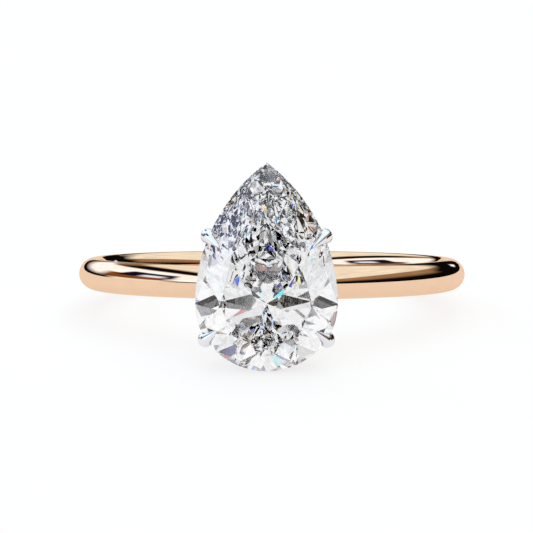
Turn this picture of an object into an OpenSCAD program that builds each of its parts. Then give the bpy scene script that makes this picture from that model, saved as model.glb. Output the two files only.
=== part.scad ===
// Solitaire engagement ring: a round-section band, a four-claw basket head and a pear-cut stone.
// Units are millimetres. The origin is the centre of the finger hole and +Z runs along the hole.
// The stone faces -Y and its point is towards +Z.

/* [Band] */
// Diameter of the finger hole
finger_d = 16.9; // [15:0.1:20]
// Width of the band along the finger
band_width = 1.6; // [1.4:0.05:1.65]
// Thickness of the band, finger side to outside
band_thickness = 1.6; // [1.6:0.05:2]
// Width of the straight stretch in the middle of the band's finger side
land = 0.15; // [0.15:0.05:0.3]

/* [Stone] */
// Width of the stone across its shoulders
stone_width = 6.5; // [6:0.1:7]
// Length of the stone, round end to point
stone_length = 9.5; // [9:0.1:10]
// Length of the round end, below the widest line
round_end = 3.05; // [2.8:0.05:3.3]
// How far the widest line lies from the band's mid-plane, along +Z
stone_shift = -0.72; // [-1:0.02:-0.4]
// Height of the crown above the girdle
crown_height = 1; // [0.9:0.05:1.1]
// Thickness of the girdle where facets meet it at their corners
girdle_thickness = 0.24; // [0.2:0.01:0.3]
// Depth of the pavilion below the girdle
pavilion_depth = 2.7; // [2.6:0.05:2.8]
// Size of the table as a share of the outline
table_ratio = 0.64; // [0.58:0.01:0.66]
// Clearance from the band to the stone's lowest point
culet_clearance = 0.9; // [0.8:0.05:1.2]

/* [Claws] */
// Diameter of each prong's wire
prong_d = 0.72; // [0.6:0.02:0.8]
// Diameter at the very tip of each claw
claw_tip_d = 0.14; // [0.1:0.02:0.2]
// How far each claw reaches in over the stone
claw_reach = 0.64; // [0.5:0.02:0.8]
// Direction of the two prongs beside the point, up from the widest side
upper_angle = 42; // [38:1:46]
// Direction of the two prongs beside the round end, down from the widest side
lower_angle = 40; // [36:1:44]
// Radius of the outward bow of each prong
prong_bow = 4; // [3.6:0.1:4.5]

/* [Basket] */
// Diameter of the two gallery rails' wire
rail_d = 0.5; // [0.4:0.05:0.5]
// Drop from the girdle to the upper rail
upper_rail_drop = 1.6; // [1.6:0.05:1.8]
// Drop from the girdle to the lower rail
lower_rail_drop = 2.15; // [2.05:0.05:2.3]
// Diameter of the base that the prongs stand on
base_d = 2; // [1.9:0.05:2.2]
// Diameter of the peg that fixes the base to the band
peg_d = 0.9; // [0.7:0.05:1]
// Depth of the peg's blind hole in the band
peg_depth = 1; // [0.8:0.05:1.1]

/* [Hidden] */
$fn = 96;

// Band
finger_r = finger_d / 2;
band_r = finger_r + band_thickness;
section_r = band_width / 2;

// Stone heights, measured out from the finger hole's axis
culet_h = band_r + culet_clearance;
girdle_low_h = culet_h + pavilion_depth;
girdle_top_h = girdle_low_h + girdle_thickness;
girdle_mid_h = (girdle_low_h + girdle_top_h) / 2;
table_h = girdle_top_h + crown_height;

// Stone outline: an elliptical round end, and two wing arcs that meet at the point
half_width = stone_width / 2;
point_length = stone_length - round_end;
wing_r = (half_width * half_width + point_length * point_length) / (2 * half_width);
wing_offset = wing_r - half_width;
wing_sweep = asin(point_length / wing_r);

// Facets are placed on outline steps, counted clockwise from the point
STATIONS = 8;
WIDEST = STATIONS / 4;          // station of the widest line
STEPS = 6;                      // outline steps between two stations
RING = STATIONS * STEPS;        // outline steps in all
TIP_STEP = 2;                   // step of the pavilion main on each side of the point
NEAR = 0.01;                    // how far along, in stations, the neighbours used for a normal lie
star_share = 0.48;              // height of the star facets' lower corner, as a share of the crown
half_share = 0.24;              // height of the lower halves' inner corner, as a share of the pavilion

// Steps along a prong: round its bow, round the claw's bend, down the claw, and over its very tip
BOW_STEPS = 14;
BEND_STEPS = 8;
POINT_STEPS = 4;
TIP_ANGLES = [30, 60, 82];
SIDES = 24;                     // sides of a prong

// Head
prong_r = prong_d / 2;
claw_tip_r = claw_tip_d / 2;
rail_r = rail_d / 2;
foot = [1, band_r + 0.5];       // where a prong leaves the base: distance from the axis, height
foot_length = 0.35;             // how far its foot runs straight on into the base
claw_rise = 0.12;               // straight stretch beside the girdle, before the claw bends
claw_bend = 0.3;                // bend radius of the claw's centre line
claw_heading = 148;             // direction of the claw's point: 90 is straight up, 180 straight in
solder_bite = 0.03;             // how deep a rail bites into a prong where it is soldered
base_top_h = band_r + 0.65;
base_low_h = band_r - 0.5;
peg_top_h = base_top_h - 0.4;
peg_low_h = band_r - peg_depth;
rail_overrun = 8;               // degrees the upper rail's wings run past the middle, where they are cut
upper_rail_h = girdle_mid_h - upper_rail_drop;
lower_rail_h = girdle_mid_h - lower_rail_drop;

ROSE_GOLD = "#e9c5a6";
WHITE_METAL = "#d6d4d8";
DIAMOND = "#e8eef4";

// ---- Helpers -------------------------------------------------------------------------------

// The head is drawn standing up: its Z is height out of the band, its Y is the ring's +Z.
module on_band() {
    rotate([90, 0, 0]) children();
}

function angle_of(v) = atan2(v.y, v.x);

function heading(angle) = [cos(angle), sin(angle)];

// A round bar swept along a path in the XZ plane; each stop is [x, z, heading, radius]
module tube(stops) {
    points = [for (stop = stops, k = [0:SIDES - 1])
        let (
            a = 360 * k / SIDES,
            side = stop[3] * cos(a)
        )
        [stop[0] - sin(stop[2]) * side, stop[3] * sin(a), stop[1] + cos(stop[2]) * side]];
    last = len(stops) - 1;
    walls = [for (j = [0:last - 1], k = [0:SIDES - 1])
        [j * SIDES + k, j * SIDES + (k + 1) % SIDES,
         (j + 1) * SIDES + (k + 1) % SIDES, (j + 1) * SIDES + k]];
    start_cap = [[for (k = [SIDES - 1:-1:0]) k]];
    end_cap = [[for (k = [0:SIDES - 1]) last * SIDES + k]];
    polyhedron(points = points, faces = concat(start_cap, walls, end_cap), convexity = 4);
}

// ---- Stone outline -------------------------------------------------------------------------

// The outline's right half, from station 0 at the point to the round end half-way round
function half_outline(t) =
    let (turn = t / WIDEST - 1)
    turn < 0
    ? [wing_r * cos(wing_sweep * turn) - wing_offset, -wing_r * sin(wing_sweep * turn)]
    : [half_width * cos(90 * turn), -round_end * sin(90 * turn)];

// The whole outline, going clockwise from the point
function outline(t) =
    let (s = (t + STATIONS) % STATIONS)
    s <= STATIONS / 2 ? half_outline(s) : [-half_outline(STATIONS - s).x, half_outline(STATIONS - s).y];

// Outward normal of the outline, square to the line between two near neighbours
function outward(t) =
    let (step = outline(t + NEAR) - outline(t - NEAR))
    [-step.y, step.x] / norm(step);

// Where two plan lines cross, each given by its normal and its distance from the centre
function crossing(n1, d1, n2, d2) =
    let (det = n1.x * n2.y - n1.y * n2.x)
    [(d1 * n2.y - d2 * n1.y) / det, (n1.x * d2 - n2.x * d1) / det];

function edge_point(k) = outline(k / STEPS);
function edge_normal(k) = outward(k / STEPS);

// How far the main facet at step k lies from the centre, where share of its height has been climbed
function main_distance(k, inner_ratio, share) =
    (edge_normal(k) * edge_point(k)) * (1 + (inner_ratio - 1) * share);

// The corner shared by the main facets at steps a and b, at a share of their height
function main_corner(a, b, inner_ratio, share) =
    crossing(edge_normal(a), main_distance(a, inner_ratio, share),
             edge_normal(b), main_distance(b, inner_ratio, share));

// Height at plan point p of the plane through a, b and c
function plane_height(a, b, c, p) =
    let (n = cross(b - a, c - a))
    a.z - (n.x * (p.x - a.x) + n.y * (p.y - a.y)) / n.z;

function lift(p, z) = [p.x, p.y, z];

// Height of the girdle's edge at step k, between the mains at steps a and b: the plane of the half
// facet there, carried out to the outline
function half_edge_height(k, a, b, inner_ratio, share, corner_z, girdle_z) =
    let (
        middle = (a + b) / 2,
        near = lift(edge_point(k < middle ? a : middle), girdle_z),
        far = lift(edge_point(k < middle ? middle : b), girdle_z),
        inner = lift(main_corner(a, b, inner_ratio, share), corner_z)
    )
    plane_height(near, far, inner, edge_point(k));

// Height of the girdle's edge at step k on the pavilion main at step m
function main_edge_height(k, m) =
    culet_h + pavilion_depth * (edge_normal(m) * edge_point(k)) / main_distance(m, 0, 0);

// ---- Stone ---------------------------------------------------------------------------------

star_h = girdle_top_h + star_share * crown_height;
half_h = culet_h + half_share * pavilion_depth;

// Steps of the main facets. The pavilion has one on each side of the point instead of one on it.
crown_mains = [for (i = [0:STATIONS]) i * STEPS];
pavilion_mains = concat([TIP_STEP], [for (i = [1:STATIONS - 1]) i * STEPS], [RING - TIP_STEP]);

// Which pair of neighbouring mains step k lies between
function span_of(k, mains) =
    [for (j = [0:len(mains) - 2]) if (k >= mains[j] && k < mains[j + 1]) j][0];

function upper_edge_height(k) =
    let (j = span_of(k, crown_mains))
    half_edge_height(k, crown_mains[j], crown_mains[j + 1], table_ratio, star_share,
                     star_h, girdle_top_h);

function lower_edge_height(k) =
    k <= TIP_STEP ? main_edge_height(k, TIP_STEP)
    : k >= RING - TIP_STEP ? main_edge_height(k, RING - TIP_STEP)
    : let (j = span_of(k, pavilion_mains))
      half_edge_height(k, pavilion_mains[j], pavilion_mains[j + 1], 0, 1 - half_share,
                       half_h, girdle_low_h);

table_ring = [for (i = [0:STATIONS - 1]) lift(outline(i) * table_ratio, table_h)];
star_ring = [for (i = [0:STATIONS - 1])
    lift(main_corner(crown_mains[i], crown_mains[i + 1], table_ratio, star_share), star_h)];
upper_edge = [for (k = [0:RING - 1]) lift(edge_point(k), upper_edge_height(k))];
lower_edge = [for (k = [0:RING - 1]) lift(edge_point(k), lower_edge_height(k))];
half_ring = [for (j = [0:STATIONS - 1])
    lift(main_corner(pavilion_mains[j], pavilion_mains[j + 1], 0, 1 - half_share), half_h)];
culet = [[0, 0, culet_h]];
stone_points = concat(table_ring, star_ring, upper_edge, lower_edge, half_ring, culet);

// Where each ring starts in stone_points
STAR_AT = STATIONS;
UPPER_AT = 2 * STATIONS;
LOWER_AT = UPPER_AT + RING;
HALF_AT = LOWER_AT + RING;
CULET_AT = HALF_AT + STATIONS;

function wrap(i) = (i + STATIONS) % STATIONS;
function edge_run(start, first, last) = [for (k = [first:last]) start + k % RING];
function reversed(list) = [for (k = [len(list) - 1:-1:0]) list[k]];

// The two half facets between one pair of mains, as spans of steps
function half_spans(mains) =
    [for (j = [0:len(mains) - 2], side = [0, 1])
        let (middle = (mains[j] + mains[j + 1]) / 2)
        side == 0 ? [j, mains[j], middle] : [j, middle, mains[j + 1]]];

table_face = [[for (i = [0:STATIONS - 1]) i]];
star_faces = [for (i = [0:STATIONS - 1]) [wrap(i + 1), i, STAR_AT + i]];
bezel_faces = [for (i = [0:STATIONS - 1])
    [i, STAR_AT + wrap(i - 1), UPPER_AT + crown_mains[i], STAR_AT + i]];
upper_half_faces = [for (span = half_spans(crown_mains))
    concat([STAR_AT + span[0]], edge_run(UPPER_AT, span[1], span[2]))];
girdle_faces = [for (k = [0:RING - 1])
    [LOWER_AT + k, LOWER_AT + (k + 1) % RING, UPPER_AT + (k + 1) % RING, UPPER_AT + k]];
lower_half_faces = [for (span = half_spans(pavilion_mains))
    concat([HALF_AT + span[0]], reversed(edge_run(LOWER_AT, span[1], span[2])))];
main_faces = [for (j = [1:STATIONS - 1])
    [HALF_AT + j - 1, CULET_AT, HALF_AT + j, LOWER_AT + pavilion_mains[j]]];
tip_main_faces = [
    concat([CULET_AT, HALF_AT], reversed(edge_run(LOWER_AT, 0, TIP_STEP))),
    concat([HALF_AT + STATIONS - 1, CULET_AT], reversed(edge_run(LOWER_AT, RING - TIP_STEP, RING)))
];

module stone() {
    translate([0, stone_shift, 0])
        polyhedron(
            points = stone_points,
            faces = concat(table_face, star_faces, bezel_faces, upper_half_faces,
                           girdle_faces, lower_half_faces, main_faces, tip_main_faces),
            convexity = 2
        );
}

module pear_diamond() {
    color(DIAMOND) on_band() stone();
}

// ---- Prongs --------------------------------------------------------------------------------

// Distance from the head's axis to the stone's outline, along a direction above the widest side
function reach_up(angle) =
    let (
        to_centre = [-wing_offset, stone_shift],
        along = [cos(angle), sin(angle)],
        b = along * to_centre
    )
    b + sqrt(b * b - to_centre * to_centre + wing_r * wing_r);

// The same along a direction below the widest side, where the outline is the elliptical round end
function reach_down(angle) =
    let (
        dx = cos(angle) / half_width,
        dy = -sin(angle) / round_end,
        y0 = -stone_shift / round_end,
        a = dx * dx + dy * dy,
        b = dy * y0
    )
    (-b + sqrt(b * b - a * (y0 * y0 - 1))) / a;

upper_s = reach_up(upper_angle);
lower_s = reach_down(lower_angle);

// Centre of the arc that bows a prong out from its foot to the girdle
function bow_centre(seat) =
    let (
        chord = seat - foot,
        inward = [-chord.y, chord.x] / norm(chord)
    )
    (foot + seat) / 2 + inward * sqrt(prong_bow * prong_bow - chord * chord / 4);

// How far out the centre line of a rail at height h is, where it is soldered inside a prong
function rail_s(s, h) =
    let (
        centre = bow_centre([s, girdle_mid_h]),
        across = sqrt(prong_bow * prong_bow - (h - centre.y) * (h - centre.y)),
        square_gap = prong_r + rail_r - solder_bite
    )
    centre.x + across - square_gap * prong_bow / across;

// Stops round an arc, from one heading to another, with the radius changing evenly
function arc_stops(centre, radius, from, to, steps, r_from, r_to) =
    [for (k = [0:steps])
        let (
            turn = from + (to - from) * k / steps,
            at = centre + radius * heading(turn - 90)
        )
        [at.x, at.y, turn, r_from + (r_to - r_from) * k / steps]];

// The bowed wire, from its foot in the base to the girdle
function wire_stops(seat) =
    let (
        centre = bow_centre(seat),
        from = angle_of(foot - centre) + 90,
        to = angle_of(seat - centre) + 90,
        end = foot - foot_length * heading(from)
    )
    concat([[end.x, end.y, from, prong_r]],
           arc_stops(centre, prong_bow, from, to, BOW_STEPS, prong_r, prong_r));

// The claw: a tight bend in over the crown, thinning to a rounded point
function claw_stops(seat) =
    let (
        lean = angle_of(seat - bow_centre(seat)) + 90,
        start = seat + claw_rise * heading(lean),
        centre = start + claw_bend * heading(lean + 90),
        bent = centre + claw_bend * heading(claw_heading - 90),
        run = (claw_reach - (seat.x - bent.x)) / -cos(claw_heading),
        bend_length = claw_bend * (claw_heading - lean) * PI / 180,
        r_bent = prong_r + (claw_tip_r - prong_r) * bend_length / (bend_length + run),
        tip = bent + run * heading(claw_heading)
    )
    concat(arc_stops(centre, claw_bend, lean, claw_heading, BEND_STEPS, prong_r, r_bent),
           [for (k = [1:POINT_STEPS])
               let (at = bent + (tip - bent) * k / POINT_STEPS)
               [at.x, at.y, claw_heading, r_bent + (claw_tip_r - r_bent) * k / POINT_STEPS]],
           [for (a = TIP_ANGLES)
               let (at = tip + claw_tip_r * sin(a) * heading(claw_heading))
               [at.x, at.y, claw_heading, claw_tip_r * cos(a)]]);

// A whole prong, with the stone's seat cut into it
module prong(s, angle) {
    seat = [s, girdle_mid_h];
    color(WHITE_METAL)
        on_band()
            difference() {
                rotate([0, 0, angle]) tube(concat(wire_stops(seat), claw_stops(seat)));
                stone();
            }
}

module prong_upper_left() {
    prong(upper_s, 180 - upper_angle);
}

module prong_upper_right() {
    prong(upper_s, upper_angle);
}

module prong_lower_left() {
    prong(lower_s, 180 + lower_angle);
}

module prong_lower_right() {
    prong(lower_s, -lower_angle);
}

// ---- Basket --------------------------------------------------------------------------------

// Where a rail at height h is soldered to a prong, in plan from the stone's widest line
function solder_point(s, angle, h) = rail_s(s, h) * heading(angle) - [0, stone_shift];

// Upper rail: a smaller pear of round wire, drawn through its solder points just clear of the pavilion
lower_solder = solder_point(lower_s, -lower_angle, upper_rail_h);
upper_solder = solder_point(upper_s, upper_angle, upper_rail_h);
rail_half_width = norm(lower_solder);
rail_bulge = rail_half_width - upper_solder.x;
rail_wing_r = (rail_bulge * rail_bulge + upper_solder.y * upper_solder.y) / (2 * rail_bulge);
rail_wing_sweep = acos(1 - rail_half_width / rail_wing_r);

// The rail's right half, with the wing run past the middle and cut off square there
module half_upper_rail() {
    intersection() {
        union() {
            rotate([0, 0, -90])
                rotate_extrude(angle = 90)
                    translate([rail_half_width, 0])
                        circle(r = rail_r);
            translate([rail_half_width - rail_wing_r, 0, 0])
                rotate_extrude(angle = rail_wing_sweep + rail_overrun)
                    translate([rail_wing_r, 0])
                        circle(r = rail_r);
        }
        translate([0, -stone_length, -rail_d])
            cube([stone_width, 2 * stone_length, 2 * rail_d]);
    }
}

module upper_gallery_rail() {
    color(WHITE_METAL)
        on_band()
            translate([0, stone_shift, upper_rail_h]) {
                half_upper_rail();
                mirror([1, 0, 0]) half_upper_rail();
            }
}

// Lower rail: a round ring of the same wire inside the prongs, relieved where the stone sits down to it
lower_rail_ring_r = (rail_s(lower_s, lower_rail_h) + rail_s(upper_s, lower_rail_h)) / 2;

module lower_gallery_rail() {
    color(WHITE_METAL)
        on_band()
            difference() {
                translate([0, 0, lower_rail_h])
                    rotate_extrude()
                        translate([lower_rail_ring_r, 0])
                            circle(r = rail_r);
                stone();
            }
}

// Base: a round boss saddled on the band, with sockets for the prong feet and the peg
module base_collet() {
    color(WHITE_METAL)
        difference() {
            on_band()
                difference() {
                    translate([0, 0, base_low_h])
                        cylinder(h = base_top_h - base_low_h, d = base_d);
                    foot_socket(upper_s, upper_angle);
                    foot_socket(upper_s, 180 - upper_angle);
                    foot_socket(lower_s, -lower_angle);
                    foot_socket(lower_s, 180 + lower_angle);
                    peg();
                }
            band_solid();
        }
}

// A round hole along the first stretch of a prong
module foot_socket(s, angle) {
    centre = bow_centre([s, girdle_mid_h]);
    slope = angle_of(foot - centre) + 90;
    rotate([0, 0, angle])
        translate([foot.x, 0, foot.y])
            rotate([0, 90 - slope, 0])
                translate([0, 0, -foot_length])
                    cylinder(h = foot_length + base_d, r = prong_r);
}

module peg() {
    translate([0, 0, peg_low_h])
        cylinder(h = peg_top_h - peg_low_h, d = peg_d);
}

module head_peg() {
    color(WHITE_METAL) on_band() peg();
}

// ---- Band ----------------------------------------------------------------------------------

// Round wire, with a narrow straight land where it meets the finger
module band_section() {
    inner_r = section_r - land / 2;
    middle = band_r - section_r;
    translate([middle, 0]) circle(r = section_r);
    translate([finger_r + inner_r, -section_r]) square([middle - finger_r - inner_r, band_width]);
    translate([finger_r, -land / 2]) square([middle - finger_r, land]);
    for (side = [-1, 1])
        translate([finger_r + inner_r, side * land / 2]) circle(r = inner_r);
}

module band_solid() {
    rotate_extrude($fn = 180) band_section();
}

module shank() {
    color(ROSE_GOLD)
        difference() {
            band_solid();
            on_band() peg();
        }
}

shank();
head_peg();
base_collet();
lower_gallery_rail();
upper_gallery_rail();
prong_upper_left();
prong_upper_right();
prong_lower_left();
prong_lower_right();
pear_diamond();
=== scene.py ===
# A solitaire engagement ring lying on a white studio floor: rose-gold band, white-metal claw head
# and a pear-cut diamond. Metres, in the frame of the CAD model: the finger hole runs along Z and the
# stone faces -Y. Angles are in degrees, except where they are turned to radians.
import math

import bpy
from mathutils import Matrix, Vector


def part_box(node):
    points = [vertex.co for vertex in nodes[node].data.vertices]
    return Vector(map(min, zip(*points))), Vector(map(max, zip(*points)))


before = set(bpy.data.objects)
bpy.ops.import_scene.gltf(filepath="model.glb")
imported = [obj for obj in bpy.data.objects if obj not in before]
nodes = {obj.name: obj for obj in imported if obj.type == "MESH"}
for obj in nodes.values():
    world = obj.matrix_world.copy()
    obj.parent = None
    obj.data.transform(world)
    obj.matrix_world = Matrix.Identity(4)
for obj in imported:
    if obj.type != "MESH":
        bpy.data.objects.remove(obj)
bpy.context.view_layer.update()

scene = bpy.context.scene
MM = 0.001

WHITE_NODES = (
    "head_peg",
    "base_collet",
    "lower_gallery_rail",
    "upper_gallery_rail",
    "prong_upper_left",
    "prong_upper_right",
    "prong_lower_left",
    "prong_lower_right",
)


# ---- Sizes taken from the frame ----------------------------------------------------------------

shank_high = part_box("shank")[1]
band_radius = shank_high.x
band_section_radius = shank_high.z
band_centre_radius = band_radius - band_section_radius

# The band is round wire with a narrow straight land in the middle of its finger side
LAND = 0.15 * MM
inner_centre_radius = band_centre_radius - LAND / 2

stone_foot = min((v.co for v in nodes["pear_diamond"].data.vertices), key=lambda p: p.z).copy()


# ---- How the ring lies and where it is seen from -----------------------------------------------

def floor_tilt():
    """Slope of the floor in radians: it touches the stone's round end and the band's back."""
    reach = band_centre_radius - stone_foot.y
    drop = -stone_foot.z
    return math.atan2(drop, reach) - math.asin(band_section_radius / math.hypot(reach, drop))


tilt = floor_tilt()

# A long lens almost level with the band, a touch to the right of the stone
CAMERA_DISTANCE = 104.5 * MM
CAMERA_AZIMUTH = math.radians(1.155)
CAMERA_ELEVATION = math.radians(2.75)
CAMERA_ROLL = math.radians(0.13)
FOCAL_LENGTH_MM = 134.7
SENSOR_WIDTH_MM = 36
AIM_RIGHT = -0.28 * MM
AIM_UP = 0.338 * MM

towards_camera = Vector((
    math.sin(CAMERA_AZIMUTH) * math.cos(CAMERA_ELEVATION),
    -math.cos(CAMERA_AZIMUTH) * math.cos(CAMERA_ELEVATION),
    math.sin(CAMERA_ELEVATION),
))


# ---- Metals and stone --------------------------------------------------------------------------

ROSE_GOLD = (0.80, 0.555, 0.38)
ROSE_GOLD_WORN = (0.78, 0.535, 0.365)
WHITE_METAL = (0.75, 0.74, 0.77)
WHITE_METAL_WORN = (0.71, 0.71, 0.74)
BAND_ROUGHNESS = 0.02
HEAD_ROUGHNESS = 0.03
HAZE_SCALE = 900                        # haze comes in clouds of about a millimetre
POLISHING_SCALE = (2600, 2600, 26000)   # polishing lines are ten times as long as wide
SCRATCH_DEPTH = 0.2e-6
SCRATCH_STRENGTH = 0.1

DIAMOND_IOR = 2.417
DIAMOND_CLOUD_SCALE = 700
DIAMOND_CLOUD = (0.998, 0.999, 1.0)
STONE_MIRROR = (0.38, 0.34, 0.35)       # share of its natural mirror light the stone's outside keeps


# ---- Studio ------------------------------------------------------------------------------------

WHITE = (1.0, 1.0, 1.0)
BLACK = (0.004, 0.004, 0.004)
WHITE_BOX = (1.42, 1.78, 2.3)
CEILING = (1.16, 1.34, 1.38)
WALL = (0.44, 0.32, 0.20)
FAR_CLOTH = (0.40, 0.28, 0.17)
GOLDEN_SILL = (0.28, 0.11, 0.026)
BRIGHT_LINE = (1.1, 1.3, 1.3)
WINDOW_FRAME = (0.004, 0.008, 0.04)
WINDOW_PANE = (1.15, 1.5, 2.3)

# The floor is white acrylic, lit from below so that shadows on it stay faint
FLOOR_GLOW = 0.76
MIRRORED_GLOW = 0.85                    # the same glow as the ring mirrors it
FLOOR_MATT = (0.268, 0.246, 0.236)
FLOOR_GRAIN_SCALE = 120
FLOOR_REACH = 4.0                       # from the ring to the floor's edges

# Long softboxes run from front to back beside and above the ring. Each stop is an angle round the
# front-to-back line, from the left horizon over the top to the right, and its brightness.
SOFTBOXES = (
    (0, BLACK),
    (6, BLACK),
    (8, WHITE_BOX),
    (47, WHITE_BOX),
    (51, FAR_CLOTH),
    (60, FAR_CLOTH),
    (64, CEILING),
    (139, CEILING),
    (142, WALL),
    (153, WALL),
    (164, BLACK),
    (180, BLACK),
)
BRIGHTEST = max(WHITE_BOX)
FOLD_SCALE = (9, 0.7, 9)                # folds in the softboxes' cloth run from front to back
FOLD_RANGE = (0.84, 1.1)

# The same row of boxes as the stone shows it, where light has been bent through it
STONE_BOXES = (
    (0, 0.004),
    (6, 0.004),
    (8, 1.0),
    (47, 1.0),
    (50, 0.3),
    (61, 0.3),
    (64, 0.82),
    (90, 1.0),
    (140, 0.9),
    (147, 0.26),
    (162, 0.08),
    (168, 0.004),
    (180, 0.004),
)
STONE_LIGHT = 1.15
FIRE = 1.8                              # how far the stone shifts red and blue apart from green
BACK_GAP = (14, 32)                     # far end of the stone's boxes: black inside, full past the second

# A dark gap round the lens
CAMERA_GAP = 14
CAMERA_GAP_EDGE = 1.5

# A window with a wooden sill, low on the left. Each part has its azimuth range, its range of angle
# from the left horizon, the softness of both edges and its brightness; azimuth 0 is the stone's side.
WINDOW_PARTS = (
    ((-124, -62), (-10, 26), (6.0, 1.5), GOLDEN_SILL),
    ((-124, -62), (-4, 7), (6.0, 1.0), BRIGHT_LINE),
    ((-112, -62), (19, 38), (2.5, 1.5), WINDOW_FRAME),
    ((-90, -70), (20, 29), (4.0, 2.5), WINDOW_PANE),
)

# A dark wall behind the ring, with one small lamp on it. Azimuth is counted from straight behind,
# positive to the right. The wall is low on the left and slopes up to its full height on the right.
WALL_TOP = 24
WALL_TOP_BEHIND = 14
WALL_SLOPE = 0.75
LOW_WALL_TOP = 8
WALL_RANGE = (-70, 52)
WALL_SOFT = (6.0, 4.0)
BACK_LAMP = ((18, 24), (7, 11))
LAMP_SOFT = (1.0, 1.0)

# A black flag in the gap between the left softbox and the ceiling, from the front to almost behind
FLAG = ((-180, -20), (50, 60.5))
FLAG_SOFT = (6.0, 1.2)

# Light bounces inside the stone more often than the usual limit allows
BOUNCES = 17


# ---- Node helpers ------------------------------------------------------------------------------

def add_node(tree, kind, **settings):
    node = tree.nodes.new(kind)
    for key, value in settings.items():
        setattr(node, key, value)
    return node


def connect(tree, source, target):
    """Feed a node's input from a number, a colour or another node's output."""
    if isinstance(source, (int, float)):
        target.default_value = source
    elif isinstance(source, tuple):
        target.default_value = (*source, 1)
    else:
        tree.links.new(source, target)


def fed_node(tree, kind, **inputs):
    """A node with some of its inputs fed; returns its first output."""
    node = add_node(tree, kind)
    for name, value in inputs.items():
        connect(tree, value, node.inputs[name])
    return node.outputs[0]


def maths(tree, operation, *values):
    """A Math node over numbers or sockets; returns its output."""
    node = add_node(tree, "ShaderNodeMath", operation=operation)
    for value, socket in zip(values, node.inputs):
        connect(tree, value, socket)
    return node.outputs[0]


def map_range(tree, value, from_min, from_max, to_min, to_max, smooth=False):
    node = add_node(tree, "ShaderNodeMapRange")
    if smooth:
        node.interpolation_type = "SMOOTHSTEP"
    settings = (value, from_min, from_max, to_min, to_max)
    for setting, socket in zip(settings, node.inputs):
        connect(tree, setting, socket)
    return node.outputs[0]


def chosen(tree, test, when_false, when_true):
    """One of two numbers, by a test that is 0 or 1."""
    gap = maths(tree, "SUBTRACT", when_true, when_false)
    return maths(tree, "ADD", when_false, maths(tree, "MULTIPLY", gap, test))


def heading(tree, across, ahead):
    """Angle in degrees of a direction, from straight ahead towards the axis across."""
    return maths(tree, "DEGREES", maths(tree, "ARCTAN2", across, ahead))


def negative(tree, value):
    return maths(tree, "MULTIPLY", value, -1.0)


def components(tree, vector):
    split = add_node(tree, "ShaderNodeSeparateXYZ")
    tree.links.new(vector, split.inputs[0])
    return split.outputs


def stretched(tree, vector, scale):
    node = add_node(tree, "ShaderNodeMapping")
    node.inputs["Scale"].default_value = scale
    tree.links.new(vector, node.inputs["Vector"])
    return node.outputs[0]


def angle_between(tree, direction, axis):
    """Angle in degrees between a direction socket and a fixed axis."""
    product = add_node(tree, "ShaderNodeVectorMath", operation="DOT_PRODUCT")
    tree.links.new(direction, product.inputs[0])
    product.inputs[1].default_value = axis
    clamped = maths(tree, "MINIMUM", maths(tree, "MAXIMUM", product.outputs["Value"], -1.0), 1.0)
    return maths(tree, "DEGREES", maths(tree, "ARCCOSINE", clamped))


def noise(tree, vector, scale, detail, roughness=0.5):
    return fed_node(
        tree, "ShaderNodeTexNoise", Vector=vector, Scale=scale, Detail=detail, Roughness=roughness)


def scaled(tree, colour, factor):
    node = add_node(tree, "ShaderNodeVectorMath", operation="SCALE")
    tree.links.new(colour, node.inputs[0])
    connect(tree, factor, node.inputs["Scale"])
    return node.outputs[0]


def mixed(tree, factor, under, over):
    """A mix of two colours: the first where the factor is 0 and the second where it is 1."""
    node = add_node(tree, "ShaderNodeMix", data_type="RGBA")
    connect(tree, factor, node.inputs["Factor"])
    connect(tree, under, node.inputs["A"])
    connect(tree, over, node.inputs["B"])
    return node.outputs["Result"]


def mixed_shaders(tree, factor, under, over):
    """A mix of two shaders: the first where the factor is 0 and the second where it is 1."""
    node = add_node(tree, "ShaderNodeMixShader")
    for source, socket in zip((factor, under, over), node.inputs):
        tree.links.new(source, socket)
    return node.outputs[0]


def ray_is(tree, kind):
    """1 for rays of one kind, such as Camera or Transmission, and 0 for the rest."""
    return add_node(tree, "ShaderNodeLightPath").outputs["Is " + kind + " Ray"]


def brightness_ramp(tree, position, stops):
    """Colour along a position that runs from 0 to 180 degrees; each stop is an angle and a colour."""
    ramp = add_node(tree, "ShaderNodeValToRGB")
    marks = ramp.color_ramp.elements
    for angle, colour in stops[1:-1]:
        marks.new(angle / 180)
    for mark, (angle, colour) in zip(marks, stops):
        mark.color = (*colour, 1)
    tree.links.new(maths(tree, "DIVIDE", position, 180.0), ramp.inputs[0])
    return ramp.outputs[0]


def patch(tree, across, up, across_range, up_range, soft):
    """1 where two angles both lie within their ranges, 0 outside, with soft edges."""
    inside = 1.0
    for value, (low, high), edge in ((across, across_range, soft[0]), (up, up_range, soft[1])):
        middle = (low + high) / 2
        half = (high - low) / 2
        away = maths(tree, "ABSOLUTE", maths(tree, "SUBTRACT", value, middle))
        part = map_range(tree, away, half - edge, half + edge, 1.0, 0.0)
        inside = maths(tree, "MULTIPLY", inside, part)
    return inside


# ---- Materials ---------------------------------------------------------------------------------

def new_material(name):
    """An empty material; returns it, its node tree and the place on the object."""
    material = bpy.data.materials.new(name)
    material.use_nodes = True
    tree = material.node_tree
    tree.nodes.clear()
    return material, tree, add_node(tree, "ShaderNodeTexCoord").outputs["Object"]


def set_surface(tree, shader):
    output = add_node(tree, "ShaderNodeOutputMaterial")
    tree.links.new(shader, output.inputs["Surface"])


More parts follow.
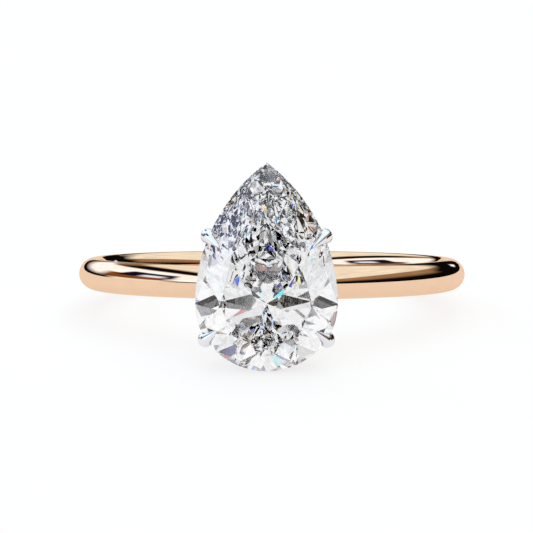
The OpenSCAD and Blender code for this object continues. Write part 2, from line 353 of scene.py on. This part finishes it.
def band_normal(tree, place):
    """The band's exact normal, from its section, so that reflections run smoothly over the mesh."""
    x, y, z = components(tree, place)
    squares = maths(tree, "MULTIPLY_ADD", x, x, maths(tree, "MULTIPLY", y, y))
    radius = maths(tree, "SQRT", squares)
    height = maths(tree, "ABSOLUTE", z)
    outside = maths(tree, "GREATER_THAN", radius, band_centre_radius)
    along_outside = maths(tree, "SUBTRACT", radius, band_centre_radius)
    along_inside = maths(tree, "MINIMUM", maths(tree, "SUBTRACT", radius, inner_centre_radius), 0.0)
    along = chosen(tree, outside, along_inside, along_outside)
    up_inside = maths(tree, "MAXIMUM", maths(tree, "SUBTRACT", height, LAND / 2), 0.0)
    up = chosen(tree, outside, up_inside, height)

    across = maths(tree, "DIVIDE", along, radius)
    normal = fed_node(
        tree, "ShaderNodeCombineXYZ",
        X=maths(tree, "MULTIPLY", x, across),
        Y=maths(tree, "MULTIPLY", y, across),
        Z=maths(tree, "MULTIPLY", up, maths(tree, "SIGN", z)),
    )
    turned = add_node(
        tree, "ShaderNodeVectorTransform", vector_type="NORMAL", convert_from="OBJECT", convert_to="WORLD")
    tree.links.new(normal, turned.inputs[0])
    unit = add_node(tree, "ShaderNodeVectorMath", operation="NORMALIZE")
    tree.links.new(turned.outputs[0], unit.inputs[0])
    return unit.outputs[0]


def polished_metal(name, colour, worn_colour, roughness, normal=None):
    """Mirror-polished precious metal with faint polishing lines, haze and tone changes."""
    material, tree, place = new_material(name)
    haze = noise(tree, place, HAZE_SCALE, 4, 0.6)
    scratches = noise(tree, stretched(tree, place, POLISHING_SCALE), 1.0, 3, 0.7)
    tone = mixed(tree, map_range(tree, haze, 0.35, 0.7, 0.0, 1.0), colour, worn_colour)
    polish = map_range(tree, haze, 0.3, 0.75, roughness * 0.7, roughness * 1.5)
    fine = map_range(tree, scratches, 0.55, 0.75, 0.0, roughness * 0.6)
    bump = {"Strength": SCRATCH_STRENGTH, "Distance": SCRATCH_DEPTH, "Height": scratches}
    if normal is not None:
        bump["Normal"] = normal(tree, place)
    relief = fed_node(tree, "ShaderNodeBump", **bump)
    surface = fed_node(
        tree, "ShaderNodeBsdfGlossy", Color=tone, Roughness=maths(tree, "ADD", polish, fine), Normal=relief)
    set_surface(tree, surface)
    return material


def diamond_material():
    """Clear, colourless diamond with the faintest haze, coated so that its outside mirrors less."""
    material, tree, place = new_material("diamond")
    tint = mixed(tree, noise(tree, place, DIAMOND_CLOUD_SCALE, 3), DIAMOND_CLOUD, WHITE)
    clear = {"Color": tint, "Roughness": 0.0, "IOR": DIAMOND_IOR}
    inside = fed_node(tree, "ShaderNodeBsdfGlass", **clear)
    entering = fed_node(tree, "ShaderNodeBsdfRefraction", **clear)
    mirrored = fed_node(tree, "ShaderNodeBsdfGlossy", Color=STONE_MIRROR, Roughness=0.0)
    mirror_share = fed_node(tree, "ShaderNodeFresnel", IOR=DIAMOND_IOR)
    outside = mixed_shaders(tree, mirror_share, entering, mirrored)
    from_inside = add_node(tree, "ShaderNodeNewGeometry").outputs["Backfacing"]
    set_surface(tree, mixed_shaders(tree, from_inside, outside, inside))
    return material


def floor_material():
    """White acrylic lit from below; a little of the light from above shows on it too."""
    material, tree, place = new_material("studio_floor")
    grain = noise(tree, place, FLOOR_GRAIN_SCALE, 4)
    glow = fed_node(
        tree, "ShaderNodeEmission",
        Color=map_range(tree, grain, 0.0, 1.0, 0.995, 1.0),
        Strength=map_range(tree, ray_is(tree, "Camera"), 0.0, 1.0, MIRRORED_GLOW, FLOOR_GLOW),
    )
    matt = fed_node(tree, "ShaderNodeBsdfDiffuse", Color=FLOOR_MATT)
    both = add_node(tree, "ShaderNodeAddShader")
    tree.links.new(glow, both.inputs[0])
    tree.links.new(matt, both.inputs[1])
    set_surface(tree, both.outputs[0])
    return material


# ---- Studio light ------------------------------------------------------------------------------

def direction_over_floor(tree):
    """The direction of a ray in the floor's frame, where Z points straight up from the floor."""
    turn = add_node(tree, "ShaderNodeMapping", vector_type="POINT")
    turn.inputs["Rotation"].default_value = (-tilt, 0, 0)
    tree.links.new(add_node(tree, "ShaderNodeTexCoord").outputs["Generated"], turn.inputs["Vector"])
    return turn.outputs[0]


def softboxes(tree, direction, around):
    """The row of softboxes as the metal mirrors it, with faint folds in their cloth."""
    stops = [(angle, tuple(part / BRIGHTEST for part in colour)) for angle, colour in SOFTBOXES]
    light = scaled(tree, brightness_ramp(tree, maths(tree, "MAXIMUM", around, 0.0), stops), BRIGHTEST)
    cloth = noise(tree, stretched(tree, direction, FOLD_SCALE), 1.6, 3)
    return scaled(tree, light, map_range(tree, cloth, 0.3, 0.7, *FOLD_RANGE))


def with_window(tree, light, azimuth, around):
    for azimuth_range, around_range, soft, colour in WINDOW_PARTS:
        inside = patch(tree, azimuth, around, azimuth_range, around_range, soft)
        light = mixed(tree, inside, light, colour)
    return light


def with_back_wall(tree, light, behind, around, elevation):
    """The flag, the dark wall and its lamp laid over the light; behind is 0 straight behind the ring."""
    slope = maths(tree, "MULTIPLY_ADD", behind, WALL_SLOPE, WALL_TOP_BEHIND)
    top = maths(tree, "MAXIMUM", maths(tree, "MINIMUM", slope, WALL_TOP), LOW_WALL_TOP)
    above_top = maths(tree, "SUBTRACT", elevation, top)
    flag = patch(tree, behind, around, *FLAG, FLAG_SOFT)
    wall = patch(tree, behind, above_top, WALL_RANGE, (-90, 0), WALL_SOFT)
    lamp = patch(tree, behind, elevation, *BACK_LAMP, LAMP_SOFT)
    light = mixed(tree, flag, light, BLACK)
    light = mixed(tree, wall, light, BLACK)
    return mixed(tree, lamp, light, WHITE_BOX)


def stone_boxes(tree, around):
    """The row of boxes as the stone shows it, split a little between red, green and blue for its fire."""
    stops = [(angle, (level, level, level)) for angle, level in STONE_BOXES]
    combined = add_node(tree, "ShaderNodeCombineColor")
    for channel, shift in enumerate((-FIRE, 0.0, FIRE)):
        moved = maths(tree, "MAXIMUM", maths(tree, "ADD", around, shift), 0.0)
        tree.links.new(brightness_ramp(tree, moved, stops), combined.inputs[channel])
    return scaled(tree, combined.outputs[0], STONE_LIGHT)


def lens_gap(tree, direction):
    """0 in the dark gap round the lens, 1 outside it."""
    lens_direction = Matrix.Rotation(-tilt, 3, "X") @ towards_camera
    from_lens = angle_between(tree, direction, lens_direction)
    return map_range(tree, from_lens, CAMERA_GAP - CAMERA_GAP_EDGE, CAMERA_GAP + CAMERA_GAP_EDGE, 0.0, 1.0)


def studio_world():
    """The studio as a function of direction; the camera itself sees only plain white past the floor."""
    world = bpy.data.worlds.new("studio")
    scene.world = world
    world.use_nodes = True
    tree = world.node_tree
    tree.nodes.clear()
    direction = direction_over_floor(tree)
    x, y, z = components(tree, direction)
    around = heading(tree, z, negative(tree, x))
    azimuth = heading(tree, x, negative(tree, y))
    behind = heading(tree, x, y)
    elevation = maths(tree, "DEGREES", maths(tree, "ARCSINE", z))
    gap = lens_gap(tree, direction)

    light = softboxes(tree, direction, around)
    light = with_window(tree, light, azimuth, around)
    light = with_back_wall(tree, light, behind, around, elevation)
    light = scaled(tree, light, gap)

    from_back = angle_between(tree, direction, (0, 1, 0))
    far_end = map_range(tree, from_back, *BACK_GAP, 0.004, 1.0, True)
    stone_light = scaled(tree, stone_boxes(tree, around), maths(tree, "MULTIPLY", gap, far_end))

    studio = mixed(tree, ray_is(tree, "Transmission"), light, stone_light)
    shown = mixed_shaders(
        tree,
        ray_is(tree, "Camera"),
        fed_node(tree, "ShaderNodeBackground", Color=studio),
        fed_node(tree, "ShaderNodeBackground", Color=WHITE),
    )
    output = add_node(tree, "ShaderNodeOutputWorld")
    tree.links.new(shown, output.inputs["Surface"])


def studio_floor():
    mesh = bpy.data.meshes.new("studio_floor")
    corners = [(x * FLOOR_REACH, y * FLOOR_REACH, 0) for x, y in ((-1, -1), (1, -1), (1, 1), (-1, 1))]
    mesh.from_pydata(corners, [], [(0, 1, 2, 3)])
    floor = bpy.data.objects.new("studio_floor", mesh)
    scene.collection.objects.link(floor)
    floor.matrix_world = Matrix.Translation(stone_foot) @ Matrix.Rotation(tilt, 4, "X")
    mesh.materials.append(floor_material())


# ---- Camera ------------------------------------------------------------------------------------

def front_camera():
    right = Vector((math.cos(CAMERA_AZIMUTH), math.sin(CAMERA_AZIMUTH), 0))
    up = towards_camera.cross(right)
    place = right * AIM_RIGHT + up * AIM_UP + towards_camera * CAMERA_DISTANCE
    facing = Matrix((right, up, towards_camera)).transposed().to_4x4()
    data = bpy.data.cameras.new("camera")
    data.lens = FOCAL_LENGTH_MM
    data.sensor_width = SENSOR_WIDTH_MM
    data.clip_start = 0.01
    data.clip_end = 20
    camera = bpy.data.objects.new("camera", data)
    scene.collection.objects.link(camera)
    camera.matrix_world = Matrix.Translation(place) @ facing @ Matrix.Rotation(CAMERA_ROLL, 4, "Z")
    scene.camera = camera


# ---- The scene ---------------------------------------------------------------------------------

def give(node_name, material, smooth):
    """Put one material on a whole CAD node, shaded smooth or flat."""
    mesh = nodes[node_name].data
    mesh.materials.clear()
    mesh.materials.append(material)
    for face in mesh.polygons:
        face.use_smooth = smooth
        face.material_index = 0


rose_gold = polished_metal("rose_gold", ROSE_GOLD, ROSE_GOLD_WORN, BAND_ROUGHNESS, band_normal)
white_metal = polished_metal("white_metal", WHITE_METAL, WHITE_METAL_WORN, HEAD_ROUGHNESS)
give("shank", rose_gold, True)
for name in WHITE_NODES:
    give(name, white_metal, True)
give("pear_diamond", diamond_material(), False)

studio_world()
studio_floor()
front_camera()

scene.view_settings.view_transform = "Standard"
scene.cycles.max_bounces = BOUNCES
scene.cycles.transmission_bounces = BOUNCES
scene.cycles.glossy_bounces = BOUNCES
